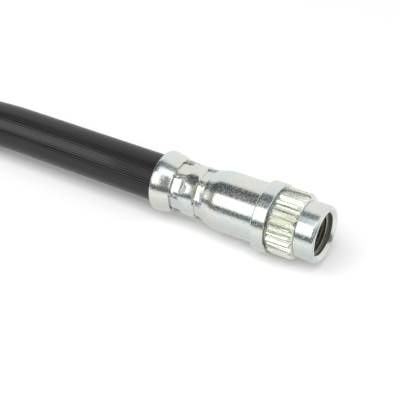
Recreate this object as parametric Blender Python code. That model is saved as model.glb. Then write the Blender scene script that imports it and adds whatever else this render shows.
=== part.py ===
import math

import bpy
import numpy as np

# Crimped rubber brake hose with the same threaded socket fitting on each end.
# All sizes are in millimetres and are scaled to metres when a mesh is written.
# A depth is measured from a fitting's mouth face, inwards along the hose.
MM = 0.001

# Whole assembly, mouth face to mouth face.
OVERALL_LENGTH = 260.0

# Roundness of the turned pieces. A flat side faces straight down, so the
# collars stand on a narrow flat and not on an edge.
BODY_SIDES = 48
HOSE_SIDES = 24
LAYER_SIDES = 16

# Clearances.
SEAT_GAP = 0.3
LAYER_GAP = 0.15

# Threaded socket for a metric M10 x 1 pipe nut.
THREAD_MAJOR_RADIUS = 5.0
THREAD_MINOR_RADIUS = 4.46
THREAD_DEPTH = 12.6
COUNTERSINK_RADIUS = THREAD_MAJOR_RADIUS + 0.2
COUNTERSINK_DEPTH = 0.7
SEAT_CONE_DEPTH = 1.5

# Round nose that stands out of the bracket.
NOSE_RADIUS = 6.45
RIM_FLAT_RADIUS = 5.85
RIM_ROUND_DEPTH = 0.8
NOSE_LENGTH = 5.0

# Locating serrations behind the nose: V-shaped teeth, chamfered in front.
TOOTH_COUNT = 24
TOOTH_ROOT_RADIUS = NOSE_RADIUS + 0.08
TOOTH_TIP_RADIUS = 7.5
TOOTH_CHAMFER = 1.05
TOOTH_END_DEPTH = 10.95
TOOTH_END_SLOPE = 0.1

# Collar that the bracket bears on, with a narrow undercut in front of it.
COLLAR_RADIUS = 8.02
COLLAR_FRONT_DEPTH = 11.5
COLLAR_LENGTH = 3.3
COLLAR_CHAMFER = 0.2
BEARING_FACE_RADIUS = TOOTH_TIP_RADIUS + 0.06
UNDERCUT_LEAN = 0.06

# Plain barrel and its shoulder down to the crimped skirt.
BARREL_RADIUS = 6.97
BARREL_END_DEPTH = 25.0
SKIRT_START_DEPTH = 28.0
SKIRT_RADIUS = 6.22
SKIRT_WALL = 0.72

# Two crimp bands, pressed by eight jaws.
JAW_COUNT = 8
CRIMP_APOTHEM = 5.76
CRIMP_BANDS = ((28.2, 30.0), (34.2, 36.3))
CRIMP_STEP = 0.25
CRIMP_SLOPE = 1.6

# Flared bell where the hose comes out.
BELL_START_DEPTH = 36.9
BELL_RADIUS = 7.15
BELL_LIP_RADIUS = 6.5
FITTING_LENGTH = 41.2

# Web between the threaded socket and the hose socket.
WEB_HOLE_RADIUS = 1.75
SOCKET_BOTTOM_DEPTH = 26.3
INSERT_POCKET_RADIUS = 2.7
INSERT_POCKET_DEPTH = 2.0

# Steel insert inside the hose end.
INSERT_BORE_RADIUS = 1.05
INSERT_TAIL_LENGTH = 7.0
INSERT_STEM_RADIUS = 1.75
INSERT_BARB_DEPTH = 0.25
INSERT_BARB_COUNT = 5
INSERT_BARB_PITCH = 2.4
INSERT_TIP_LENGTH = 1.0

# Hose layers, from the bore outwards.
HOSE_BORE_RADIUS = 1.6
INNER_TUBE_RADIUS = 2.6
BRAID_THICKNESS = 0.3
CUSHION_THICKNESS = 0.3
COVER_RADIUS = 5.4
COVER_BAND_RADIUS = CRIMP_APOTHEM - SKIRT_WALL - SEAT_GAP + 0.1
COVER_BULGE_RADIUS = SKIRT_RADIUS - SKIRT_WALL - SEAT_GAP

# The hose leaves each fitting in line with it, then settles to the ground.
HOSE_STRAIGHT_LENGTH = 42.0
HOSE_SETTLING_LENGTH = 36.8
HOSE_STEPS = 4

# Heights: the collars stand on the ground.
HALF_LENGTH = OVERALL_LENGTH / 2
BODY_TURN = math.pi / BODY_SIDES
AXIS_HEIGHT = COLLAR_RADIUS * math.cos(BODY_TURN)
HOSE_END_DEPTH = SOCKET_BOTTOM_DEPTH + SEAT_GAP
STEM_RADIUS_IN_TUBE = INSERT_STEM_RADIUS + SEAT_GAP - 0.1
BARREL_START_DEPTH = COLLAR_FRONT_DEPTH + COLLAR_LENGTH
SETTLING_START_DEPTH = FITTING_LENGTH + HOSE_STRAIGHT_LENGTH
HOSE_LYING_HEIGHT = COVER_RADIUS


def clearScene():
    for old in list(bpy.data.objects):
        bpy.data.objects.remove(old, do_unlink=True)


def makeMaterial(name, color, metallic, roughness):
    material = bpy.data.materials.new(name)
    material.use_nodes = True
    shader = material.node_tree.nodes["Principled BSDF"]
    shader.inputs["Base Color"].default_value = (*color, 1.0)
    shader.inputs["Metallic"].default_value = metallic
    shader.inputs["Roughness"].default_value = roughness
    material.diffuse_color = (*color, 1.0)
    return material


def ringAngles(sides):
    # Angles run from straight up towards the side that faces -Y.
    return math.pi / sides + 2 * math.pi * np.arange(sides) / sides


def ringPoints(depth, radii, sides, facing):
    angles = ringAngles(sides)
    radii = np.broadcast_to(radii, angles.shape)
    points = np.empty((sides, 3))
    points[:, 0] = facing * (HALF_LENGTH - depth)
    points[:, 1] = -facing * radii * np.sin(angles)
    points[:, 2] = AXIS_HEIGHT + radii * np.cos(angles)
    return points


def hoseCentre(x):
    # Height of the hose's centreline at x, and its slope.
    run = (HALF_LENGTH - SETTLING_START_DEPTH - abs(x)) / HOSE_SETTLING_LENGTH
    run = min(max(run, 0.0), 1.0)
    drop = AXIS_HEIGHT - HOSE_LYING_HEIGHT
    height = AXIS_HEIGHT - drop * (1 - math.cos(math.pi * run)) / 2
    slope = drop * math.pi * math.sin(math.pi * run) / 2 / HOSE_SETTLING_LENGTH
    return height, math.copysign(slope, x)


def hoseRing(x, radius, sides):
    # A ring square to the hose's centreline.
    height, slope = hoseCentre(x)
    lean = math.atan(slope)
    angles = ringAngles(sides)
    points = np.empty((sides, 3))
    points[:, 0] = x - radius * np.cos(angles) * math.sin(lean)
    points[:, 1] = -radius * np.sin(angles)
    points[:, 2] = height + radius * np.cos(angles) * math.cos(lean)
    return points


def signedVolume(points, quads):
    corners = points[np.array(quads)]
    first = np.einsum("ij,ij->i", corners[:, 0], np.cross(corners[:, 1], corners[:, 2]))
    second = np.einsum("ij,ij->i", corners[:, 0], np.cross(corners[:, 2], corners[:, 3]))
    return float(first.sum() + second.sum())


def closedLoft(name, rings, material):
    # Joins each ring to the next and the last one to the first, so the
    # result is one closed tube wall.
    sides = len(rings[0])
    count = len(rings)
    points = np.concatenate(rings)
    quads = []
    for i in range(count):
        here = i * sides
        there = (i + 1) % count * sides
        for j in range(sides):
            k = (j + 1) % sides
            quads.append((here + j, here + k, there + k, there + j))
    if signedVolume(points, quads) < 0:
        quads = [quad[::-1] for quad in quads]
    mesh = bpy.data.meshes.new(name)
    mesh.from_pydata((points * MM).tolist(), [], quads)
    mesh.shade_smooth()
    mesh.set_sharp_from_angle(angle=math.radians(28))
    mesh.materials.append(material)
    body = bpy.data.objects.new(name, mesh)
    bpy.context.scene.collection.objects.link(body)
    return body


def toothRadii(tip):
    # Every second point of the ring is a tooth tip and the others are roots.
    angles = ringAngles(BODY_SIDES)
    step = np.round((angles - BODY_TURN) / (2 * math.pi / BODY_SIDES)).astype(int)
    per_tooth = BODY_SIDES // TOOTH_COUNT
    return np.where(step % per_tooth == 0, tip, TOOTH_ROOT_RADIUS)


def crimpRadii(round_radius, apothem):
    # An octagon with its corners cut by the round that it was pressed from.
    angles = ringAngles(BODY_SIDES)
    face = 2 * math.pi / JAW_COUNT
    corner = 9 * BODY_TURN
    offset = (angles - corner) % face - face / 2
    return np.minimum(round_radius, apothem / np.cos(offset))


def skirtStations():
    # (depth, round radius, apothem) along the crimped skirt, outer surface.
    free = SKIRT_RADIUS + 0.5
    (near_front, near_back), (far_front, far_back) = CRIMP_BANDS
    return [
        (BARREL_END_DEPTH + 1.1, BARREL_RADIUS - 0.16, free),
        (BARREL_END_DEPTH + 2.1, SKIRT_RADIUS + 0.28, free),
        (near_front - CRIMP_STEP, SKIRT_RADIUS + 0.05, SKIRT_RADIUS - 0.02),
        (near_front, SKIRT_RADIUS, CRIMP_APOTHEM),
        (near_back, SKIRT_RADIUS, CRIMP_APOTHEM),
        (near_back + CRIMP_STEP, SKIRT_RADIUS, CRIMP_APOTHEM + 0.22),
        (near_back + 1.2, SKIRT_RADIUS, SKIRT_RADIUS),
        (far_front - CRIMP_SLOPE, SKIRT_RADIUS, SKIRT_RADIUS),
        (far_front, SKIRT_RADIUS, CRIMP_APOTHEM),
        (far_back, SKIRT_RADIUS, CRIMP_APOTHEM),
        (far_back + CRIMP_STEP, SKIRT_RADIUS + 0.05, SKIRT_RADIUS - 0.02),
        (BELL_START_DEPTH, SKIRT_RADIUS + 0.14, free),
    ]


def makeFittingBody(name, facing, material):
    rings = []

    def add(depth, radii):
        rings.append(ringPoints(depth, radii, BODY_SIDES, facing))

    # Rounded rim and nose.
    add(0.0, RIM_FLAT_RADIUS)
    rise = NOSE_RADIUS - RIM_FLAT_RADIUS
    for turn in (30, 60, 90):
        bend = math.radians(turn)
        add(RIM_ROUND_DEPTH * (1 - math.cos(bend)), RIM_FLAT_RADIUS + rise * math.sin(bend))
    add(NOSE_LENGTH, NOSE_RADIUS)
    # Serrations.
    add(NOSE_LENGTH + 0.08, TOOTH_ROOT_RADIUS)
    add(NOSE_LENGTH + TOOTH_CHAMFER, toothRadii(TOOTH_TIP_RADIUS))
    add(TOOTH_END_DEPTH - TOOTH_END_SLOPE, toothRadii(TOOTH_TIP_RADIUS))
    add(TOOTH_END_DEPTH, TOOTH_ROOT_RADIUS)
    # Undercut and collar. The bearing face lies wholly outside the tooth tips.
    add(COLLAR_FRONT_DEPTH + UNDERCUT_LEAN, TOOTH_ROOT_RADIUS)
    add(COLLAR_FRONT_DEPTH, BEARING_FACE_RADIUS)
    add(COLLAR_FRONT_DEPTH, COLLAR_RADIUS - COLLAR_CHAMFER)
    add(COLLAR_FRONT_DEPTH + COLLAR_CHAMFER, COLLAR_RADIUS)
    add(BARREL_START_DEPTH - COLLAR_CHAMFER, COLLAR_RADIUS)
    add(BARREL_START_DEPTH, COLLAR_RADIUS - COLLAR_CHAMFER)
    add(BARREL_START_DEPTH, BARREL_RADIUS)
    # Barrel, shoulder and crimped skirt.
    add(BARREL_END_DEPTH, BARREL_RADIUS)
    skirt = skirtStations()
    for depth, round_radius, apothem in skirt:
        add(depth, crimpRadii(round_radius, apothem))
    # Bell and its rolled lip.
    add(BELL_START_DEPTH + 1.6, (SKIRT_RADIUS + BELL_RADIUS) / 2 + 0.05)
    add(FITTING_LENGTH - 1.2, BELL_RADIUS - 0.1)
    add(FITTING_LENGTH - 0.5, BELL_RADIUS)
    add(FITTING_LENGTH, BELL_RADIUS - 0.25)
    add(FITTING_LENGTH, BELL_LIP_RADIUS)
    # Back along the inside of the bell and skirt.
    add(BELL_START_DEPTH + 1.6, SKIRT_RADIUS - SKIRT_WALL + 0.35)
    for depth, round_radius, apothem in skirt[:1:-1]:
        add(depth, crimpRadii(SKIRT_RADIUS - SKIRT_WALL, apothem - SKIRT_WALL))
    # Hose socket floor, pocket for the insert and the through hole.
    add(SOCKET_BOTTOM_DEPTH, SKIRT_RADIUS - SKIRT_WALL)
    add(SOCKET_BOTTOM_DEPTH, INSERT_POCKET_RADIUS)
    add(SOCKET_BOTTOM_DEPTH - INSERT_POCKET_DEPTH, INSERT_POCKET_RADIUS)
    add(SOCKET_BOTTOM_DEPTH - INSERT_POCKET_DEPTH, WEB_HOLE_RADIUS)
    # Conical pipe seat and the threaded socket, drawn at its minor diameter.
    add(THREAD_DEPTH + SEAT_CONE_DEPTH, WEB_HOLE_RADIUS)
    add(THREAD_DEPTH, THREAD_MINOR_RADIUS)
    add(COUNTERSINK_DEPTH, THREAD_MINOR_RADIUS)
    add(0.0, COUNTERSINK_RADIUS)
    return closedLoft(name, rings, material)


def makeInsert(name, facing, material):
    rings = []

    def add(depth, radius):
        rings.append(ringPoints(depth, radius, HOSE_SIDES, facing))

    head_front = SOCKET_BOTTOM_DEPTH - INSERT_POCKET_DEPTH + SEAT_GAP
    head_back = SOCKET_BOTTOM_DEPTH
    tail_radius = WEB_HOLE_RADIUS - SEAT_GAP
    tail_front = head_front - INSERT_TAIL_LENGTH
    # Tail in the web, head in the pocket.
    add(tail_front, tail_radius - 0.2)
    add(tail_front + 0.4, tail_radius)
    add(head_front, tail_radius)
    add(head_front, INSERT_POCKET_RADIUS - SEAT_GAP)
    add(head_back, INSERT_POCKET_RADIUS - SEAT_GAP)
    # Barbed stem that the hose is crimped on.
    root = INSERT_STEM_RADIUS - INSERT_BARB_DEPTH
    add(head_back, root)
    depth = head_back + 0.8
    for _ in range(INSERT_BARB_COUNT):
        add(depth, root)
        add(depth + 0.05, INSERT_STEM_RADIUS)
        depth += INSERT_BARB_PITCH
    add(depth, root)
    add(depth + INSERT_TIP_LENGTH, INSERT_BORE_RADIUS + 0.2)
    # Back through the bore.
    add(depth + INSERT_TIP_LENGTH, INSERT_BORE_RADIUS)
    add(tail_front, INSERT_BORE_RADIUS)
    return closedLoft(name, rings, material)


def makeHoseLayer(name, outer, inner, sides, material):
    # outer and inner are lists of (depth, radius) from a hose end inwards.
    # Both go on at their last radius along the route, and the same steps
    # repeat, mirrored, at the other end.
    steps = np.arange(HOSE_STEPS + 1) / HOSE_STEPS
    route = SETTLING_START_DEPTH + HOSE_SETTLING_LENGTH * steps
    rings = []
    for steps_in, way in ((outer, 1), (inner, -1)):
        half = list(steps_in) + [(depth, steps_in[-1][1]) for depth in route]
        front = [(HALF_LENGTH - depth, radius) for depth, radius in half]
        whole = front + [(-x, radius) for x, radius in front[::-1]]
        for x, radius in whole[::way]:
            rings.append(hoseRing(x, radius, sides))
    return closedLoft(name, rings, material)


def makeHose():
    tube = makeMaterial("inner_rubber", (0.045, 0.042, 0.040), 0.0, 0.7)
    first_cord = makeMaterial("inner_braid_cord", (0.72, 0.69, 0.62), 0.0, 0.9)
    between = makeMaterial("cushion_rubber", (0.035, 0.035, 0.035), 0.0, 0.75)
    second_cord = makeMaterial("outer_braid_cord", (0.72, 0.69, 0.62), 0.0, 0.9)
    outside = makeMaterial("cover_rubber", (0.025, 0.025, 0.027), 0.0, 0.6)
    end = HOSE_END_DEPTH
    (near_front, near_back), (far_front, far_back) = CRIMP_BANDS
    first_braid = INNER_TUBE_RADIUS + LAYER_GAP
    cushion = first_braid + BRAID_THICKNESS + LAYER_GAP
    second_braid = cushion + CUSHION_THICKNESS + LAYER_GAP
    cover = second_braid + BRAID_THICKNESS + LAYER_GAP
    makeHoseLayer(
        "hose_inner_tube",
        [(end, INNER_TUBE_RADIUS), (FITTING_LENGTH, INNER_TUBE_RADIUS)],
        [
            (end, STEM_RADIUS_IN_TUBE),
            (FITTING_LENGTH, STEM_RADIUS_IN_TUBE),
            (FITTING_LENGTH + 2.0, HOSE_BORE_RADIUS),
        ],
        LAYER_SIDES,
        tube,
    )
    braids = (
        ("hose_inner_braid", first_braid, first_cord),
        ("hose_outer_braid", second_braid, second_cord),
    )
    for name, radius, cord in braids:
        makeHoseLayer(
            name,
            [(end, radius + BRAID_THICKNESS), (FITTING_LENGTH, radius + BRAID_THICKNESS)],
            [(end, radius), (FITTING_LENGTH, radius)],
            LAYER_SIDES,
            cord,
        )
    makeHoseLayer(
        "hose_cushion_layer",
        [(end, cushion + CUSHION_THICKNESS), (FITTING_LENGTH, cushion + CUSHION_THICKNESS)],
        [(end, cushion), (FITTING_LENGTH, cushion)],
        LAYER_SIDES,
        between,
    )
    makeHoseLayer(
        "hose_outer_cover",
        [
            (end, COVER_BULGE_RADIUS),
            (near_front - CRIMP_STEP - 0.4, COVER_BULGE_RADIUS),
            (near_front, COVER_BAND_RADIUS),
            (near_back + CRIMP_STEP, COVER_BAND_RADIUS),
            (near_back + 1.4, COVER_BULGE_RADIUS),
            (far_front - CRIMP_SLOPE - 0.2, COVER_BULGE_RADIUS),
            (far_front - 0.2, COVER_BAND_RADIUS),
            (far_back + CRIMP_STEP, COVER_BAND_RADIUS),
            (BELL_START_DEPTH + 1.2, COVER_BULGE_RADIUS),
            (FITTING_LENGTH - 1.0, COVER_RADIUS),
        ],
        [(end, cover), (FITTING_LENGTH, cover)],
        HOSE_SIDES,
        outside,
    )


def build():
    clearScene()
    makeHose()
    for end, facing in (("front", 1), ("rear", -1)):
        plated = makeMaterial(end + "_plated_steel", (0.72, 0.73, 0.70), 1.0, 0.28)
        bright = makeMaterial(end + "_insert_steel", (0.62, 0.62, 0.60), 1.0, 0.35)
        makeFittingBody(end + "_fitting_body", facing, plated)
        makeInsert(end + "_insert", facing, bright)


build()
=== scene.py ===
import math

import bpy
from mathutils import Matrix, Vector


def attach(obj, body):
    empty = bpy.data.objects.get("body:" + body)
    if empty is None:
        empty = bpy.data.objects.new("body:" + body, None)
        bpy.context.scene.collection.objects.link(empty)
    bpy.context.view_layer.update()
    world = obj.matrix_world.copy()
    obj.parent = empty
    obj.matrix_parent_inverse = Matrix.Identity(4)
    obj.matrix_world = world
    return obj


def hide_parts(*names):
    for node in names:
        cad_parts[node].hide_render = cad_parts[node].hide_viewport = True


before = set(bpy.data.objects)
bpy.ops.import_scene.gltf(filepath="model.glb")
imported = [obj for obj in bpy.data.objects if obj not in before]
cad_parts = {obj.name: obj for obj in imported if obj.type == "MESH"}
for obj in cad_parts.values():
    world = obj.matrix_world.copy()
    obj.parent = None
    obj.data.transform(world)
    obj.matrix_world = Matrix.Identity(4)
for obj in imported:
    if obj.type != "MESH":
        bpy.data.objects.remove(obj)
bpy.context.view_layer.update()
print("frame loaded:", len(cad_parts), "nodes")

# What the whole object shares, in metres. A depth runs inwards from a mouth face.
layout = {
    "halfLength": 0.130,
    "axisHeight": 0.0080028,
    "mm": 0.001,
}
mm = layout["mm"]
axisHeight = layout["axisHeight"]


def clearSelection():
    if bpy.context.mode != "OBJECT":
        bpy.ops.object.mode_set(mode="OBJECT")
    bpy.ops.object.select_all(action="DESELECT")


def makeActive(piece):
    clearSelection()
    piece.select_set(True)
    bpy.context.view_layer.objects.active = piece


def settle(piece):
    # Puts the piece's place, turn and size into its mesh.
    makeActive(piece)
    bpy.ops.object.transform_apply(location=True, rotation=True, scale=True)


def smooth(piece, degrees):
    makeActive(piece)
    bpy.ops.object.shade_smooth_by_angle(angle=math.radians(degrees))


def applyModifier(piece, modifier):
    makeActive(piece)
    bpy.ops.object.modifier_apply(modifier=modifier.name)


def selectPoints(piece, test):
    # Selects the points that pass the test and leaves edit mode on.
    bpy.ops.object.mode_set(mode="EDIT")
    bpy.ops.mesh.select_mode(type="VERT")
    bpy.ops.mesh.select_all(action="DESELECT")
    bpy.ops.object.mode_set(mode="OBJECT")
    for point in piece.data.vertices:
        point.select = bool(test(point.co))
    bpy.ops.object.mode_set(mode="EDIT")


def setOriginOnAxis(piece, x):
    makeActive(piece)
    bpy.context.scene.cursor.location = (x, 0, axisHeight)
    bpy.ops.object.origin_set(type="ORIGIN_CURSOR")


# The camera, where the photograph was taken from.
view = {
    "azimuth": 31.73,
    "elevation": 34.49,
    "lens": 87.06,
    "mouthInView": (0.02707, -0.00763, -0.20544),  # where the mouth lies as the camera sees it
    "sensor": 36,
    "nearest": 0.01,
    "farthest": 50,
}


def placeCamera():
    turn = math.radians(view["azimuth"])
    tilt = math.radians(view["elevation"])
    bpy.ops.object.camera_add(location=(0, 0, 0), rotation=(math.pi / 2 - tilt, 0, turn))
    camera = bpy.context.object
    bpy.context.view_layer.update()
    mouth = Vector((layout["halfLength"], 0, axisHeight))
    camera.location = mouth - camera.matrix_world.to_3x3() @ Vector(view["mouthInView"])
    camera.data.lens = view["lens"]
    camera.data.sensor_width = view["sensor"]
    camera.data.clip_start = view["nearest"]
    camera.data.clip_end = view["farthest"]
    bpy.context.scene.camera = camera
    bpy.context.view_layer.update()


placeCamera()
print("camera placed")


# Small helpers for the materials' nodes.
def newMaterial(name):
    material = bpy.data.materials.new(name)
    material.use_nodes = True
    return material, material.node_tree.nodes["Principled BSDF"]


def addNode(material, kind, **inputs):
    node = material.node_tree.nodes.new(kind)
    for key, value in inputs.items():
        feed(material, value, node.inputs[key])
    return node


def feed(material, value, socket):
    # Links a socket, or writes a plain value into it.
    if isinstance(value, bpy.types.NodeSocket):
        material.node_tree.links.new(value, socket)
    else:
        socket.default_value = value


def compute(material, operation, first, second=None):
    node = material.node_tree.nodes.new("ShaderNodeMath")
    node.operation = operation
    feed(material, first, node.inputs[0])
    if second is not None:
        feed(material, second, node.inputs[1])
    return node.outputs[0]


def fade(material, value, low, high, toLow=0.0, toHigh=1.0):
    node = material.node_tree.nodes.new("ShaderNodeMapRange")
    node.interpolation_type = "SMOOTHSTEP"
    for index, number in enumerate((value, low, high, toLow, toHigh)):
        feed(material, number, node.inputs[index])
    return node.outputs["Result"]


def addNoise(material, vector, scale, detail, roughness):
    node = addNode(material, "ShaderNodeTexNoise", Vector=vector, Scale=scale)
    node.inputs["Detail"].default_value = detail
    node.inputs["Roughness"].default_value = roughness
    return node.outputs["Fac"]


def addRamp(material, value, stops):
    node = addNode(material, "ShaderNodeValToRGB", Fac=value)
    ramp = node.color_ramp
    while len(ramp.elements) < len(stops):
        ramp.elements.new(0.5)
    for element, (position, color) in zip(ramp.elements, stops):
        element.position = position
        element.color = (*color, 1.0)
    return node.outputs["Color"]


def mixColors(material, share, first, second):
    node = material.node_tree.nodes.new("ShaderNodeMix")
    node.data_type = "RGBA"
    feed(material, share, node.inputs["Factor"])
    feed(material, first, node.inputs[6])
    feed(material, second, node.inputs[7])
    return node.outputs[2]


def addBump(material, height, strength, distance, before=None):
    node = addNode(material, "ShaderNodeBump", Height=height, Strength=strength, Distance=distance)
    if before is not None:
        feed(material, before, node.inputs["Normal"])
    return node.outputs["Normal"]


def stretchAxes(material, first, second, scales):
    # A place in a pattern from two coordinates, each with its own scale.
    x = compute(material, "MULTIPLY", first, scales[0])
    y = compute(material, "MULTIPLY", second, scales[1])
    return addNode(material, "ShaderNodeCombineXYZ", X=x, Y=y).outputs[0]


def fittingCoordinates(material):
    # Place, angle round the axis, depth from the nearer mouth and distance from the axis.
    place = addNode(material, "ShaderNodeTexCoord").outputs["Object"]
    split = addNode(material, "ShaderNodeSeparateXYZ", Vector=place)
    rise = compute(material, "SUBTRACT", split.outputs["Z"], axisHeight)
    angle = compute(material, "ARCTAN2", split.outputs["Y"], rise)
    away = compute(material, "ABSOLUTE", split.outputs["X"])
    depth = compute(material, "SUBTRACT", layout["halfLength"], away)
    squares = (compute(material, "POWER", axis, 2.0) for axis in (split.outputs["Y"], rise))
    radius = compute(material, "SQRT", compute(material, "ADD", *squares))
    return place, angle, depth, radius


# Zinc plating, in metres where a value is a place or a size.
zinc = {
    "blue": (0.655, 0.705, 0.715),
    "green": (0.69, 0.735, 0.71),
    "yellow": (0.73, 0.735, 0.66),
    "pink": (0.705, 0.69, 0.69),
    "patches": 150.0,
    "grain": 2600.0,
    "speckle": 0.10,
    "speckleDepth": 0.00004,
    # The socket's inside is near black as painted shade, with lighter lathe lines and crests.
    "bore": (0.045, 0.042, 0.03),
    "latheLight": (0.31, 0.295, 0.225),
    "latheLines": 15000.0,
    "crest": (0.62, 0.60, 0.53),
    "boreRadius": 0.0051,
    "boreStart": 0.0011,
    "boreEnd": 0.0120,
    "crestRadius": 0.0045,
    "boreMetal": 0.35,
    "boreRough": 0.4,
    "smoothest": 0.15,
    "roughest": 0.34,
    "boreEdge": 0.0001,
    "crestEdge": 0.00004,
    "teeth": (0.0050, 0.0112),
    "teethEdges": (0.0003, 0.0002),
    # The lines that the broach left along the serrations: round them, and along them.
    "broachLines": (30.0, 60.0),
    "broachStrength": 0.9,
    "broachDepth": 0.00008,
    "broached": (0.86, 0.88, 0.76),
    "broachedShare": 0.7,
    "broachShade": (0.26, 0.27, 0.21),
    "broachShadeShare": 0.85,
    # Where the jaws crumpled the plating: once between every two flats, in two bands; its creases get
    # painted shade and a sunken bump.
    "creaseShade": (0.33, 0.32, 0.30),
    "wrinkleTurn": 0.581,
    "wrinkleCount": 8.0,
    "wrinkleBands": (0.0291, 0.0352),
    "wrinkleReach": 0.0014,
    "wrinkleEdge": 0.0003,
    "wrinkleSpan": (0.35, 0.8),
    "wrinkleWidth": (0.015, 0.06),
    "wrinkleGrain": 1500.0,
    "wrinkleDepth": 0.00025,
}


def addWrinkles(material, place, angle, depth):
    # The fine creases, and where they lie: a mask for their painted shade and their sunken bump.
    turned = compute(material, "ADD", angle, zinc["wrinkleTurn"])
    steps = compute(material, "MULTIPLY", turned, zinc["wrinkleCount"])
    between = fade(material, compute(material, "COSINE", steps), *zinc["wrinkleSpan"])
    near, far = (
        compute(material, "ABSOLUTE", compute(material, "SUBTRACT", depth, middle))
        for middle in zinc["wrinkleBands"]
    )
    reach = zinc["wrinkleReach"]
    nearest = compute(material, "MINIMUM", near, far)
    inBand = fade(material, nearest, reach - zinc["wrinkleEdge"], reach, 1.0, 0.0)
    where = compute(material, "MULTIPLY", between, inBand)
    noise = addNoise(material, place, zinc["wrinkleGrain"], 2.0, 0.6)
    away = compute(material, "ABSOLUTE", compute(material, "SUBTRACT", noise, 0.5))
    creases = fade(material, away, *zinc["wrinkleWidth"], 1.0, 0.0)
    return compute(material, "MULTIPLY", where, creases)


def makeZinc():
    material, shader = newMaterial("zincPlating")
    place, angle, depth, radius = fittingCoordinates(material)
    patches = fade(material, addNoise(material, place, zinc["patches"], 3.0, 0.55), 0.3, 0.7)
    tints = [(0.0, zinc["blue"]), (0.4, zinc["green"]), (0.7, zinc["yellow"]), (1.0, zinc["pink"])]
    plated = addRamp(material, patches, tints)
    (front, back), (frontEdge, backEdge) = zinc["teeth"], zinc["teethEdges"]
    start = fade(material, depth, front, front + frontEdge)
    stop = fade(material, depth, back, back + backEdge, 1.0, 0.0)
    onTeeth = compute(material, "MULTIPLY", start, stop)
    cut = compute(material, "MULTIPLY", onTeeth, zinc["broachedShare"])
    plated = mixColors(material, cut, plated, (*zinc["broached"], 1.0))
    streaks = stretchAxes(material, angle, depth, zinc["broachLines"])
    lines = addNoise(material, streaks, 1.0, 2.0, 0.6)
    shaded = fade(material, lines, 0.34, 0.46, zinc["broachShadeShare"], 0.0)
    shaded = compute(material, "MULTIPLY", onTeeth, shaded)
    plated = mixColors(material, shaded, plated, (*zinc["broachShade"], 1.0))
    # Inside the socket the colour is painted shade, near black, with fine lathe lines and the lighter
    # crests of its thread.
    bore, crest = zinc["boreRadius"], zinc["crestRadius"]
    narrow = fade(material, radius, bore - zinc["boreEdge"], bore, 1.0, 0.0)
    deep = compute(material, "GREATER_THAN", depth, zinc["boreStart"])
    inside = compute(material, "MULTIPLY", narrow, deep)
    turns = compute(material, "MULTIPLY", depth, zinc["latheLines"])
    lathe = fade(material, compute(material, "SINE", turns), -1.0, 1.0)
    shadedBore = mixColors(material, lathe, (*zinc["bore"], 1.0), (*zinc["latheLight"], 1.0))
    color = mixColors(material, inside, plated, shadedBore)
    onCrest = fade(material, radius, crest, crest + zinc["crestEdge"], 1.0, 0.0)
    lighterCrest = compute(material, "MULTIPLY", onCrest, compute(material, "LESS_THAN", depth, zinc["boreEnd"]))
    color = mixColors(material, lighterCrest, color, (*zinc["crest"], 1.0))
    creases = addWrinkles(material, place, angle, depth)
    # Painted shade darkens the creases of the crumpled plating.
    color = mixColors(material, creases, color, (*zinc["creaseShade"], 1.0))
    feed(material, color, shader.inputs["Base Color"])
    dull = compute(material, "MULTIPLY", inside, compute(material, "SUBTRACT", 1.0, lighterCrest))
    feed(material, fade(material, dull, 0.0, 1.0, 1.0, zinc["boreMetal"]), shader.inputs["Metallic"])
    grain = addNoise(material, place, zinc["grain"], 4.0, 0.65)
    rough = fade(material, grain, 0.3, 0.75, zinc["smoothest"], zinc["roughest"])
    rough = compute(material, "MAXIMUM", rough, compute(material, "MULTIPLY", dull, zinc["boreRough"]))
    feed(material, rough, shader.inputs["Roughness"])
    broached = compute(material, "MULTIPLY", lines, onTeeth)
    speckle = addBump(material, grain, zinc["speckle"], zinc["speckleDepth"])
    lined = addBump(material, broached, zinc["broachStrength"], zinc["broachDepth"], speckle)
    sunken = compute(material, "SUBTRACT", 0.0, creases)
    feed(material, addBump(material, sunken, 1.0, zinc["wrinkleDepth"], lined), shader.inputs["Normal"])
    return material


# The rubber of the hose.
rubber = {
    # Painted shade in the rib grooves and painted light on the rib tops.
    "grooveShade": (0.012, 0.012, 0.0125),
    "ribTopLight": (0.054, 0.0495, 0.046),
    "ribs": 64,
    "ribHeight": 0.000025,
    "ribStrength": 0.6,
    "smoothest": 0.13,
    "roughest": 0.20,
    "shine": 0.22,
    "edgeShine": 0.09,
    "edge": (0.4, 0.85),
    "wander": (70.0, 1.5),  # how finely the ribs' shade wanders, round the hose and along it
    "wanderHeight": 1.5,
}


def makeRubber():
    material, shader = newMaterial("ribbedRubber")
    uv = addNode(material, "ShaderNodeTexCoord").outputs["UV"]
    split = addNode(material, "ShaderNodeSeparateXYZ", Vector=uv)
    # The ribs' colour is painted: darker stripes are painted shade in their grooves and lighter ones
    # painted light on their tops, with a tone that wanders at random.
    turn = compute(material, "MULTIPLY", split.outputs["X"], 2 * math.pi * rubber["ribs"])
    ribs = fade(material, compute(material, "SINE", turn), -1.0, 1.0)
    stretched = stretchAxes(material, split.outputs["X"], split.outputs["Y"], rubber["wander"])
    wander = addNoise(material, stretched, 1.0, 3.0, 0.6)
    shade = compute(material, "MULTIPLY", ribs, wander)
    color = addRamp(material, shade, [(0.0, rubber["grooveShade"]), (0.8, rubber["ribTopLight"])])
    feed(material, color, shader.inputs["Base Color"])
    rough = fade(material, wander, 0.3, 0.7, rubber["smoothest"], rubber["roughest"])
    feed(material, rough, shader.inputs["Roughness"])
    # The ribs shade each other where they are seen edge-on.
    facing = addNode(material, "ShaderNodeLayerWeight", Blend=0.5).outputs["Facing"]
    shine = fade(material, facing, *rubber["edge"], rubber["shine"], rubber["edgeShine"])
    feed(material, shine, shader.inputs["Specular IOR Level"])
    swell = compute(material, "MULTIPLY", wander, rubber["wanderHeight"])
    height = compute(material, "ADD", ribs, swell)
    bump = addBump(material, height, rubber["ribStrength"], rubber["ribHeight"])
    feed(material, bump, shader.inputs["Normal"])
    return material


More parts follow.
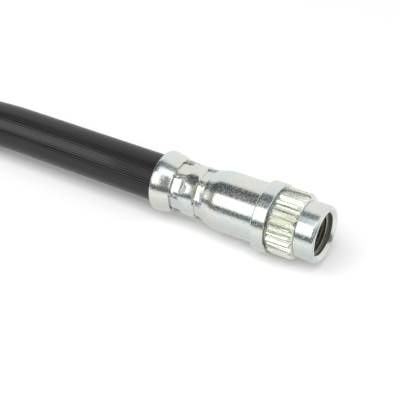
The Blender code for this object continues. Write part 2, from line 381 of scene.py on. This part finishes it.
# Finishes of the pieces inside.
innerFinishes = {
    "turnedSteel": {"color": (0.56, 0.56, 0.54), "metal": 1.0, "rough": 0.35, "grain": 900.0},
    "tubeRubber": {"color": (0.045, 0.042, 0.040), "metal": 0.0, "rough": 0.7, "grain": 700.0},
    "cushionRubber": {"color": (0.035, 0.035, 0.035), "metal": 0.0, "rough": 0.75, "grain": 700.0},
}
innerGrain = {"darker": 0.8, "rougher": 0.06, "strength": 0.3, "depth": 0.00003}
braid = {
    "shadow": (0.35, 0.32, 0.27),
    "yarn": (0.74, 0.70, 0.62),
    "innerYarns": 12.0,
    "outerYarns": 16.0,
    "climb": 2400.0,
    "rough": 0.9,
    "strength": 0.6,
    "depth": 0.0001,
}


def makePlain(name):
    finish = innerFinishes[name]
    material, shader = newMaterial(name)
    place = addNode(material, "ShaderNodeTexCoord").outputs["Object"]
    noise = addNoise(material, place, finish["grain"], 4.0, 0.6)
    low = tuple(innerGrain["darker"] * part for part in finish["color"])
    color = addRamp(material, noise, [(0.3, low), (0.7, finish["color"])])
    feed(material, color, shader.inputs["Base Color"])
    shader.inputs["Metallic"].default_value = finish["metal"]
    middle, spread = finish["rough"], innerGrain["rougher"]
    rough = fade(material, noise, 0.3, 0.7, middle - spread, middle + spread)
    feed(material, rough, shader.inputs["Roughness"])
    grain = addBump(material, noise, innerGrain["strength"], innerGrain["depth"])
    feed(material, grain, shader.inputs["Normal"])
    return material


def makeBraid(name, yarns):
    material, shader = newMaterial(name)
    angle, depth = fittingCoordinates(material)[1:3]
    climb = compute(material, "MULTIPLY", depth, braid["climb"])
    around = compute(material, "MULTIPLY", angle, yarns)
    oneWay = compute(material, "SINE", compute(material, "ADD", around, climb))
    otherWay = compute(material, "SINE", compute(material, "SUBTRACT", around, climb))
    weave = compute(material, "MAXIMUM", oneWay, otherWay)
    height = fade(material, weave, -1.0, 1.0)
    color = addRamp(material, height, [(0.0, braid["shadow"]), (1.0, braid["yarn"])])
    feed(material, color, shader.inputs["Base Color"])
    shader.inputs["Roughness"].default_value = braid["rough"]
    strands = addBump(material, weave, braid["strength"], braid["depth"])
    feed(material, strands, shader.inputs["Normal"])
    return material


zincPlating = makeZinc()
ribbedRubber = makeRubber()
turnedSteel = makePlain("turnedSteel")
tubeRubber = makePlain("tubeRubber")
cushionRubber = makePlain("cushionRubber")
innerCord = makeBraid("innerCord", braid["innerYarns"])
outerCord = makeBraid("outerCord", braid["outerYarns"])
print("materials made")

# The hose, in metres.
hose = {
    "radius": 0.00555,
    "wall": 0.00135,
    "sides": 96,
    "endDepth": 0.0385,
    "settlingDepth": 0.0832,  # where it starts to come down to the ground
    "settling": 0.0368,
    "steps": 44,
    "smoothUpTo": 40,
    "lineLength": 0.05,  # the length of hose that one unit of its pattern takes
    "layers": ("hose_inner_tube", "hose_inner_braid", "hose_cushion_layer", "hose_outer_braid"),
}


def hoseHeight(x):
    run = (layout["halfLength"] - hose["settlingDepth"] - abs(x)) / hose["settling"]
    run = min(max(run, 0.0), 1.0)
    return axisHeight - (axisHeight - hose["radius"]) * (1 - math.cos(math.pi * run)) / 2


def layRibs(cover):
    # The ribs follow the hose: U goes round it once and V runs along it.
    mesh = cover.data
    lines = mesh.uv_layers.get("lines") or mesh.uv_layers.new(name="lines")
    mesh.uv_layers.active = lines
    lines.active_render = True
    for face in mesh.polygons:
        points = [mesh.vertices[mesh.loops[corner].vertex_index].co for corner in face.loop_indices]
        turns = [math.atan2(point.y, point.z - hoseHeight(point.x)) / (2 * math.pi) for point in points]
        for corner, point, turn in zip(face.loop_indices, points, turns):
            if max(turns) - turn > 0.5:
                turn += 1.0
            lines.data[corner].uv = (turn, point.x / hose["lineLength"])


def makeHose():
    reach = layout["halfLength"] - hose["endDepth"]
    stations = [reach - 2 * reach * step / hose["steps"] for step in range(hose["steps"] + 1)]
    clearSelection()
    bpy.ops.mesh.primitive_circle_add(
        vertices=hose["sides"],
        radius=hose["radius"],
        location=(stations[0], 0, axisHeight),
        rotation=(0, math.pi / 2, 0),
    )
    cover = bpy.context.object
    cover.name = "hoseCover"
    settle(cover)
    bpy.ops.object.mode_set(mode="EDIT")
    bpy.ops.mesh.select_all(action="SELECT")
    for here, there in zip(stations, stations[1:]):
        step = (there - here, 0, hoseHeight(there) - hoseHeight(here))
        bpy.ops.mesh.extrude_region_move(TRANSFORM_OT_translate={"value": step})
    bpy.ops.mesh.select_all(action="SELECT")
    bpy.ops.mesh.normals_make_consistent(inside=False)
    bpy.ops.object.mode_set(mode="OBJECT")
    wall = cover.modifiers.new("wall", "SOLIDIFY")
    wall.thickness = hose["wall"]
    wall.offset = -1
    applyModifier(cover, wall)
    smooth(cover, hose["smoothUpTo"])
    layRibs(cover)
    cover.data.materials.append(ribbedRubber)
    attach(cover, "root")
    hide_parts("hose_outer_cover")


makeHose()
print("hose made")

# The fittings, in millimetres from the mouth face inwards.
fitting = {
    "sides": 192,
    "teeth": 24,
    "toothTurn": 6.8,  # degrees from straight up to the first tooth's tip
    "toothRoot": 6.66,
    "toothTip": 7.47,
    "toothLand": 0.10,
    "smoothUpTo": 26,
}
# The outline of the body in depths and radii: the nose,
noseOutline = [
    (0.4, 5.78), (0.41, 5.92), (0.46, 6.02), (0.55, 6.14), (0.68, 6.26), (0.84, 6.35), (1.02, 6.41),
    (1.25, 6.45), (1.4, 6.45), (3.0, 6.45), (4.88, 6.45), (4.96, 6.45), (4.98, 6.38), (5.02, 6.38),
]
# the serrations, with the share of the tooth's height that each depth has,
toothOutline = [
    (5.08, 0.05), (5.25, 0.28), (5.5, 0.56), (5.75, 0.82), (5.9, 0.93), (6.1, 1.0),
    (8.0, 1.0), (10.6, 1.0), (10.95, 0.97), (11.1, 0.8), (11.16, 0.04),
]
# the undercut, collar, barrel and its shoulder,
barrelOutline = [
    (11.2, 6.32), (11.46, 6.3), (11.55, 6.36), (11.5, 7.56), (11.5, 7.82), (11.52, 7.9), (11.57, 7.96),
    (11.65, 8.0), (11.75, 8.0), (14.3, 8.0), (14.42, 8.0), (14.58, 7.97), (14.7, 7.9), (14.77, 7.82),
    (14.8, 7.7), (14.8, 7.1), (14.83, 7.02), (14.9, 6.97), (15.1, 6.96), (18.0, 6.96), (21.0, 6.96),
    (24.2, 6.96), (24.8, 6.95), (25.2, 6.92), (25.6, 6.87), (26.0, 6.79), (26.4, 6.69), (26.8, 6.58),
    (27.2, 6.46), (27.6, 6.35), (27.9, 6.28),
]
# the skirt before it is pressed, then the bell and its rolled lip,
skirtOutline = [
    (28.1, 6.25), (29.0, 6.22), (30.0, 6.2), (30.5, 6.16), (31.0, 6.11), (31.6, 6.08), (32.2, 6.07),
    (32.8, 6.08), (33.4, 6.11), (34.0, 6.17), (35.0, 6.22), (36.0, 6.24), (36.4, 6.29), (36.8, 6.38),
    (37.3, 6.51), (37.9, 6.66), (38.5, 6.81), (39.1, 6.93), (39.6, 7.02), (40.1, 7.08), (40.5, 7.12),
    (40.8, 7.14), (41.0, 7.1), (41.13, 7.0), (41.18, 6.88), (41.2, 6.76), (41.17, 6.6), (41.08, 6.48),
    (40.9, 6.36),
]
# and back through the inside to the mouth.
innerOutline = [
    (40.4, 6.2), (39.4, 5.95), (38.4, 5.72), (37.2, 5.56), (36.0, 5.15), (34.0, 5.15), (32.0, 5.45),
    (30.0, 5.15), (28.0, 5.15), (27.0, 5.45), (26.3, 5.45), (26.3, 2.7), (24.3, 2.7), (24.3, 1.75),
    (14.1, 1.75), (12.6, 4.9), (12.4, 5.0), (1.4, 5.0), (1.14, 4.84), (0.44, 5.56), (0.4, 5.64),
]


def onAxis(depth):
    return (layout["halfLength"] - depth * mm, 0, axisHeight)


def startRing(name, depth, radius):
    clearSelection()
    bpy.ops.mesh.primitive_circle_add(
        vertices=fitting["sides"],
        radius=radius * mm,
        location=onAxis(depth),
        rotation=(0, math.pi / 2, 0),
    )
    piece = bpy.context.object
    piece.name = name
    settle(piece)
    bpy.ops.object.mode_set(mode="EDIT")
    bpy.ops.mesh.select_all(action="SELECT")
    # Turned so that a point of the ring falls on each tooth's tip.
    spare = math.radians(fitting["toothTurn"] % (360 / fitting["sides"]))
    bpy.ops.transform.rotate(value=spare, orient_axis="X", center_override=onAxis(depth))
    return piece


def pullRing(start, end):
    # Extrudes the selected ring to a new depth and scales it to a new radius.
    bpy.ops.mesh.extrude_region_move(TRANSFORM_OT_translate={"value": ((start[0] - end[0]) * mm, 0, 0)})
    grow = end[1] / start[1]
    bpy.ops.transform.resize(value=(1, grow, grow), center_override=onAxis(end[0]))


def toothPlace(point):
    # How many points of the ring lie between this one and the nearest tip.
    turn = math.degrees(math.atan2(-point.y, point.z - axisHeight)) - fitting["toothTurn"]
    pitch = 360 / fitting["teeth"]
    offset = (turn + pitch / 2) % pitch - pitch / 2
    return round(abs(offset) / (360 / fitting["sides"]))


def raiseTeeth(body):
    # Each toothed ring is scaled up where a flank passes: most at the tips, not at the roots.
    half = fitting["sides"] // fitting["teeth"] // 2
    rise = fitting["toothTip"] / fitting["toothRoot"] - 1
    for depth, share in toothOutline:
        x = onAxis(depth)[0]
        for place in range(half):
            flank = min(1.0, (1 - place / half) / (1 - fitting["toothLand"]))
            selectPoints(body, lambda point: abs(point.x - x) < 2e-6 and toothPlace(point) == place)
            grow = 1 + rise * min(flank, share)
            bpy.ops.transform.resize(value=(1, grow, grow), center_override=onAxis(depth))
    bpy.ops.object.mode_set(mode="OBJECT")


# The jaws that crimp the skirt, in two bands.
jaws = {
    "count": 8,
    "turn": 10.8,  # degrees from straight up to the first flat
    "apothem": 5.78,
    "width": 4.6,
    "height": 1.2,
    "nearBand": {"front": 28.2, "back": 30.0, "frontLean": 0.35, "backLean": 2.7},
    "farBand": {"front": 34.2, "back": 36.25, "frontLean": 5.6, "backLean": 0.25},
    "edge": 0.1,
    "crease": {"depths": (29.93, 36.2), "apothem": 5.64, "length": 0.24, "width": 3.4, "height": 0.8},
}


def blockOverTop(depth, low, size):
    # A block over the top of the body: its middle depth, its lower side's height and its size.
    clearSelection()
    x, y, z = onAxis(depth)
    bpy.ops.mesh.primitive_cube_add(size=1, location=(x, y, z + (low + size[2] / 2) * mm))
    block = bpy.context.object
    block.scale = tuple(side * mm for side in size)
    settle(block)
    return block


def goRound(blocks, turn):
    # Copies each block round the axis and joins all the copies.
    copies = []
    for block in blocks:
        setOriginOnAxis(block, 0)
        for step in range(jaws["count"]):
            makeActive(block)
            bpy.ops.object.duplicate()
            copy = bpy.context.object
            copy.rotation_euler = (math.radians(turn + 360 / jaws["count"] * step), 0, 0)
            settle(copy)
            copies.append(copy)
        bpy.data.objects.remove(block, do_unlink=True)
    clearSelection()
    for copy in copies:
        copy.select_set(True)
    bpy.context.view_layer.objects.active = copies[0]
    bpy.ops.object.join()
    return bpy.context.object


def makeJaw(band):
    # One jaw, leaning out on the side where it slopes.
    size = (band["back"] - band["front"], jaws["width"], jaws["height"])
    middle = (band["front"] + band["back"]) / 2
    jaw = blockOverTop(middle, jaws["apothem"], size)
    x, y, z = onAxis(middle)
    half = z + (jaws["apothem"] + jaws["height"] / 2) * mm
    for side, lean in ((1, band["frontLean"]), (-1, band["backLean"])):
        selectPoints(jaw, lambda point: point.z > half and (point.x - x) * side > 0)
        bpy.ops.transform.translate(value=(side * lean * jaws["height"] * mm, 0, 0))
    bpy.ops.object.mode_set(mode="OBJECT")
    soft = jaw.modifiers.new("edges", "BEVEL")
    soft.width = jaws["edge"] * mm
    soft.segments = 2
    applyModifier(jaw, soft)
    return jaw


def makeJaws():
    return goRound([makeJaw(jaws["nearBand"]), makeJaw(jaws["farBand"])], jaws["turn"])


def makeCreases():
    # The sharp crease where each band's steep side bit in.
    crease = jaws["crease"]
    size = (crease["length"], crease["width"], crease["height"])
    blocks = [blockOverTop(depth, crease["apothem"], size) for depth in crease["depths"]]
    return goRound(blocks, jaws["turn"])


# The metal squeezed up between the jaws.
ridges = {
    "depths": (29.1, 35.2),
    "length": 2.3,
    "width": 1.1,
    "height": 0.62,
    "middle": 5.86,
    "cuts": 7,
    "crumple": 0.45,
    "grain": 0.3,
    "voxel": 0.07,
}


def makeRidges():
    # What the jaws squeezed up between them, crumpled by a noise that differs at each.
    blocks = []
    for depth in ridges["depths"]:
        size = (ridges["length"], ridges["width"], ridges["height"])
        block = blockOverTop(depth, ridges["middle"] - ridges["height"] / 2, size)
        bpy.ops.object.mode_set(mode="EDIT")
        bpy.ops.mesh.select_all(action="SELECT")
        bpy.ops.mesh.subdivide(number_cuts=ridges["cuts"])
        bpy.ops.object.mode_set(mode="OBJECT")
        blocks.append(block)
    crumpled = goRound(blocks, jaws["turn"] + 180 / jaws["count"])
    noise = bpy.data.textures.new("crumple", "CLOUDS")
    noise.noise_scale = ridges["grain"] * mm
    noise.noise_depth = 1
    crumple = crumpled.modifiers.new("crumple", "DISPLACE")
    crumple.texture = noise
    crumple.strength = ridges["crumple"] * mm
    crumple.mid_level = 0.5
    applyModifier(crumpled, crumple)
    skin = crumpled.modifiers.new("skin", "REMESH")
    skin.mode = "VOXEL"
    skin.voxel_size = ridges["voxel"] * mm
    applyModifier(crumpled, skin)
    return crumpled


def combine(body, other, operation):
    change = body.modifiers.new("change", "BOOLEAN")
    change.operation = operation
    change.solver = "EXACT"
    change.object = other
    applyModifier(body, change)
    bpy.data.objects.remove(other, do_unlink=True)


# How far apart points are joined, in millimetres, and the place that they are sorted from, in
# metres, which lies off every plane of symmetry.
mending = {
    "reach": 0.001,
    "sortedFrom": (0.17, 0.013, 0.029),
}


def mendCuts(body):
    # Joins the points that the cuts left a hair apart, in an order that is the same each time.
    makeActive(body)
    bpy.context.scene.cursor.location = mending["sortedFrom"]
    bpy.ops.object.mode_set(mode="EDIT")
    bpy.ops.mesh.select_all(action="SELECT")
    bpy.ops.mesh.sort_elements(type="CURSOR_DISTANCE", elements={"VERT", "EDGE", "FACE"})
    bpy.ops.mesh.remove_doubles(threshold=mending["reach"] * mm)
    bpy.ops.mesh.select_all(action="SELECT")
    bpy.ops.mesh.dissolve_degenerate(threshold=mending["reach"] * mm)
    bpy.ops.object.mode_set(mode="OBJECT")


def makeBody():
    outline = noseOutline + [(depth, fitting["toothRoot"]) for depth, share in toothOutline]
    outline += barrelOutline + skirtOutline + innerOutline
    body = startRing("frontFitting", *outline[0])
    for start, end in zip(outline, outline[1:]):
        pullRing(start, end)
    # The last ring is bridged to the first, which closes the wall at the mouth.
    bpy.ops.mesh.select_mode(type="EDGE")
    bpy.ops.mesh.select_all(action="DESELECT")
    bpy.ops.mesh.select_non_manifold()
    bpy.ops.mesh.bridge_edge_loops()
    bpy.ops.mesh.select_all(action="SELECT")
    bpy.ops.mesh.normals_make_consistent(inside=False)
    raiseTeeth(body)
    combine(body, makeJaws(), "DIFFERENCE")
    combine(body, makeCreases(), "DIFFERENCE")
    combine(body, makeRidges(), "UNION")
    mendCuts(body)
    smooth(body, fitting["smoothUpTo"])
    body.data.materials.clear()
    body.data.materials.append(zincPlating)
    return body


# The thread in the socket.
thread = {
    "pitch": 1.0,
    "width": 0.94,
    "turns": 11,
    "start": 1.62,
    "crestRadius": 4.46,
    "rootRadius": 5.03,
    "flat": 0.15,
    "steps": 72,
    "smoothUpTo": 30,
}


def makeThread():
    # One ridge of the thread, wound along the socket from a small section.
    clearSelection()
    middle = (thread["crestRadius"] + thread["rootRadius"]) / 2
    x, y, z = onAxis(thread["start"])
    place = (x, y, z + middle * mm)
    bpy.ops.mesh.primitive_plane_add(size=1, location=place, rotation=(math.pi / 2, 0, 0))
    ridge = bpy.context.object
    ridge.name = "frontThread"
    depth = thread["rootRadius"] - thread["crestRadius"]
    ridge.scale = (thread["width"] * mm, depth * mm, 1)
    settle(ridge)
    selectPoints(ridge, lambda point: point.z < z + middle * mm)
    bpy.ops.transform.resize(value=(thread["flat"], 1, 1), center_override=(x, y, z))
    bpy.ops.mesh.select_all(action="SELECT")
    bpy.ops.mesh.delete(type="ONLY_FACE")
    bpy.ops.object.mode_set(mode="OBJECT")
    setOriginOnAxis(ridge, x)
    winding = ridge.modifiers.new("winding", "SCREW")
    winding.axis = "X"
    winding.screw_offset = -thread["pitch"] * mm
    winding.iterations = thread["turns"]
    winding.steps = thread["steps"]
    winding.render_steps = thread["steps"]
    applyModifier(ridge, winding)
    settle(ridge)
    bpy.ops.object.mode_set(mode="EDIT")
    bpy.ops.mesh.select_all(action="SELECT")
    bpy.ops.mesh.fill_holes(sides=8)
    bpy.ops.mesh.normals_make_consistent(inside=False)
    bpy.ops.object.mode_set(mode="OBJECT")
    smooth(ridge, thread["smoothUpTo"])
    ridge.data.materials.clear()
    ridge.data.materials.append(zincPlating)
    return ridge


def turnAround(piece, name):
    # A copy with its own mesh, turned half round for the rear end.
    makeActive(piece)
    bpy.ops.object.duplicate()
    copy = bpy.context.object
    copy.name = name
    copy.rotation_euler = (0, 0, math.pi)
    settle(copy)
    return copy


frontBody = makeBody()
frontThread = makeThread()
rearBody = turnAround(frontBody, "rearFitting")
rearThread = turnAround(frontThread, "rearThread")
for end, body, ridge in (("front", frontBody, frontThread), ("rear", rearBody, rearThread)):
    for piece in (body, ridge):
        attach(piece, "root")
    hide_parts(end + "_fitting_body")
print("fittings made")

# The pieces inside stay as they were built and get their finishes.
keptPieces = {
    "front_insert": turnedSteel,
    "rear_insert": turnedSteel,
    "hose_inner_tube": tubeRubber,
    "hose_inner_braid": innerCord,
    "hose_cushion_layer": cushionRubber,
    "hose_outer_braid": outerCord,
}
for node, material in keptPieces.items():
    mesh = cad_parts[node].data
    mesh.materials.clear()
    mesh.materials.append(material)
print("inner pieces finished")

# Floor and light, in metres.
studio = {
    "floorSize": 6.0,
    "floorDrop": 0.00005,
    "floorColor": (0.95, 0.95, 0.95),
    "floorLift": 0.10,  # what the floor adds where it is seen, so that it reads white
    "sky": 0.54,
    "lampsAlong": 0.05,
    "topLamp": {"angle": 25, "distance": 1.2, "size": (1.4, 0.8), "power": 10.0},
    "frontLamp": {"angle": 56, "distance": 0.75, "size": (0.9, 0.55), "power": 1.4},
    "cameraSide": {"place": (1.2, -0.27, 0.22), "size": (0.65, 0.8), "glow": (0.11, 0.1, 0.105)},
    "stripLength": 3,
    "tableEdge": {"near": 0.058, "far": 0.70, "height": 0.0004, "glow": (0.1, 0.12, 0.12)},
    # A gloss-only strip with painted shadow, dimming towards the object.
    "contactShadow": {"near": 0.004, "far": 0.020, "height": 0.0004, "glow": (1.0, 1.0, 1.0), "darkest": 0.78},
}
# Panels that only gloss shows: where they lie round the object, in degrees from straight up towards
# the camera, where they start and end along it, how far away they are, and their glow.
panels = {
    "softbox": {"round": (36, 77), "along": (-0.335, 0.02), "away": 0.7, "glow": (2.0, 2.0, 2.0)},
    "hoseStrip": {"round": (27, 60), "along": (-0.13, 0.062), "away": 0.035, "glow": (2.7, 2.85, 2.95)},
    "softboxCorner": {"round": (14, 37), "along": (-0.115, 0.14), "away": 0.7, "glow": (1.8, 1.8, 1.8)},
    "softboxFrame": {"round": (33, 77), "along": (-0.6, 0.1), "away": 0.75, "glow": (0.12, 0.13, 0.13)},
    "farWall": {"round": (30, 92), "along": (-1.8, -0.6), "away": 0.76, "glow": (0.62, 0.59, 0.54)},
    "nearWall": {"round": (36, 92), "along": (0.03, 0.2), "away": 0.76, "glow": (0.18, 0.17, 0.15)},
    "sideRoom": {"round": (36, 92), "along": (0.2, 1.2), "away": 0.77, "glow": (0.62, 0.58, 0.5)},
    "ceilingGap": {"round": (-13, 35.5), "along": (-0.9, -0.08), "away": 0.6, "glow": (0.05, 0.075, 0.09)},
    "ceilingEdge": {"round": (-10, 11), "along": (-0.09, 0.25), "away": 0.6, "glow": (0.3, 0.31, 0.29)},
    "lowGap": {"round": (77, 90.3), "along": (-1.2, 0.8), "away": 0.7, "glow": (0.1, 0.12, 0.12)},
}


def seenDirectly(material):
    # 1 for what the camera sees, also in gloss and through glass, and 0 for the light on the object.
    paths = addNode(material, "ShaderNodeLightPath")
    seen = compute(material, "MAXIMUM", paths.outputs["Is Camera Ray"], paths.outputs["Is Glossy Ray"])
    return compute(material, "MAXIMUM", seen, paths.outputs["Is Transmission Ray"])


def makeFloor():
    clearSelection()
    bpy.ops.mesh.primitive_plane_add(size=studio["floorSize"], location=(0, 0, -studio["floorDrop"]))
    floor = bpy.context.object
    floor.name = "studioFloor"
    settle(floor)
    material, shader = newMaterial("paleFloor")
    shader.inputs["Base Color"].default_value = (*studio["floorColor"], 1)
    shader.inputs["Roughness"].default_value = 1.0
    shader.inputs["Specular IOR Level"].default_value = 0.0
    shader.inputs["Emission Color"].default_value = (1, 1, 1, 1)
    lift = compute(material, "MULTIPLY", seenDirectly(material), studio["floorLift"])
    feed(material, lift, shader.inputs["Emission Strength"])
    floor.data.materials.append(material)


def makeSky():
    sky = bpy.data.worlds.new("studioSky")
    bpy.context.scene.world = sky
    sky.use_nodes = True
    sky.node_tree.nodes.clear()
    soft = addNode(sky, "ShaderNodeBackground", Strength=studio["sky"])
    white = addNode(sky, "ShaderNodeBackground", Strength=1.0, Color=(1, 1, 1, 1))
    mix = addNode(sky, "ShaderNodeMixShader", Fac=seenDirectly(sky))
    feed(sky, soft.outputs[0], mix.inputs[1])
    feed(sky, white.outputs[0], mix.inputs[2])
    addNode(sky, "ShaderNodeOutputWorld", Surface=mix.outputs[0])


def addLamp(name):
    # Lights surfaces softly and stays out of reflections, which the panels fill.
    values = studio[name]
    turn = math.radians(values["angle"])
    distance = values["distance"]
    place = (studio["lampsAlong"], -distance * math.sin(turn), distance * math.cos(turn))
    bpy.ops.object.light_add(type="AREA", location=place, rotation=(turn, 0, 0))
    lamp = bpy.context.object
    lamp.name = name
    lamp.data.shape = "RECTANGLE"
    lamp.data.size, lamp.data.size_y = values["size"]
    lamp.data.energy = values["power"]
    lamp.visible_glossy = False


def onlyInGloss(panel, name, glow):
    material, shader = newMaterial(name)
    shader.inputs["Base Color"].default_value = (0, 0, 0, 1)
    shader.inputs["Specular IOR Level"].default_value = 0.0
    shader.inputs["Emission Color"].default_value = (*glow, 1)
    shader.inputs["Emission Strength"].default_value = 1.0
    panel.name = name
    panel.data.materials.append(material)
    panel.visible_camera = False
    panel.visible_diffuse = False
    panel.visible_shadow = False
    panel.visible_transmission = False
    return material, shader


def addPanel(name, values):
    # A panel between two angles from straight up and two places along the object.
    low, high = (math.radians(angle) for angle in values["round"])
    left, right = values["along"]
    middle = (low + high) / 2
    away = values["away"]
    width = 2 * away * math.tan((high - low) / 2)
    place = ((left + right) / 2, -away * math.sin(middle), away * math.cos(middle))
    clearSelection()
    bpy.ops.mesh.primitive_plane_add(size=1, location=place, rotation=(middle, 0, 0))
    panel = bpy.context.object
    panel.scale = (right - left, width, 1)
    settle(panel)
    onlyInGloss(panel, name, values["glow"])


def addCameraSide():
    # The dark room beyond the mouth, which the countersink shows.
    values = studio["cameraSide"]
    clearSelection()
    bpy.ops.mesh.primitive_plane_add(size=1, location=values["place"], rotation=(0, -math.pi / 2, 0))
    wall = bpy.context.object
    wall.scale = (*values["size"], 1)
    settle(wall)
    onlyInGloss(wall, "cameraSide", values["glow"])


def addFloorStrip(name):
    # A strip of the table in front of the object, as the metal shows it.
    values = studio[name]
    width = values["far"] - values["near"]
    clearSelection()
    place = (0, -values["near"] - width / 2, values["height"])
    bpy.ops.mesh.primitive_plane_add(size=1, location=place)
    strip = bpy.context.object
    strip.scale = (studio["stripLength"], width, 1)
    settle(strip)
    return onlyInGloss(strip, name, values["glow"])


def addContactShadow():
    # Painted shadow: the strip's glow dims towards the object, where the floor lies in its shadow.
    material, shader = addFloorStrip("contactShadow")
    values = studio["contactShadow"]
    place = addNode(material, "ShaderNodeTexCoord").outputs["Object"]
    split = addNode(material, "ShaderNodeSeparateXYZ", Vector=place)
    dim = fade(material, split.outputs["Y"], -values["far"], -values["near"], 1.0, values["darkest"])
    feed(material, dim, shader.inputs["Emission Strength"])


makeFloor()
makeSky()
addLamp("topLamp")
addLamp("frontLamp")
for name, values in panels.items():
    addPanel(name, values)
addCameraSide()
addFloorStrip("tableEdge")
addContactShadow()
bpy.context.scene.view_settings.view_transform = "Standard"
print("studio made")

clearSelection()
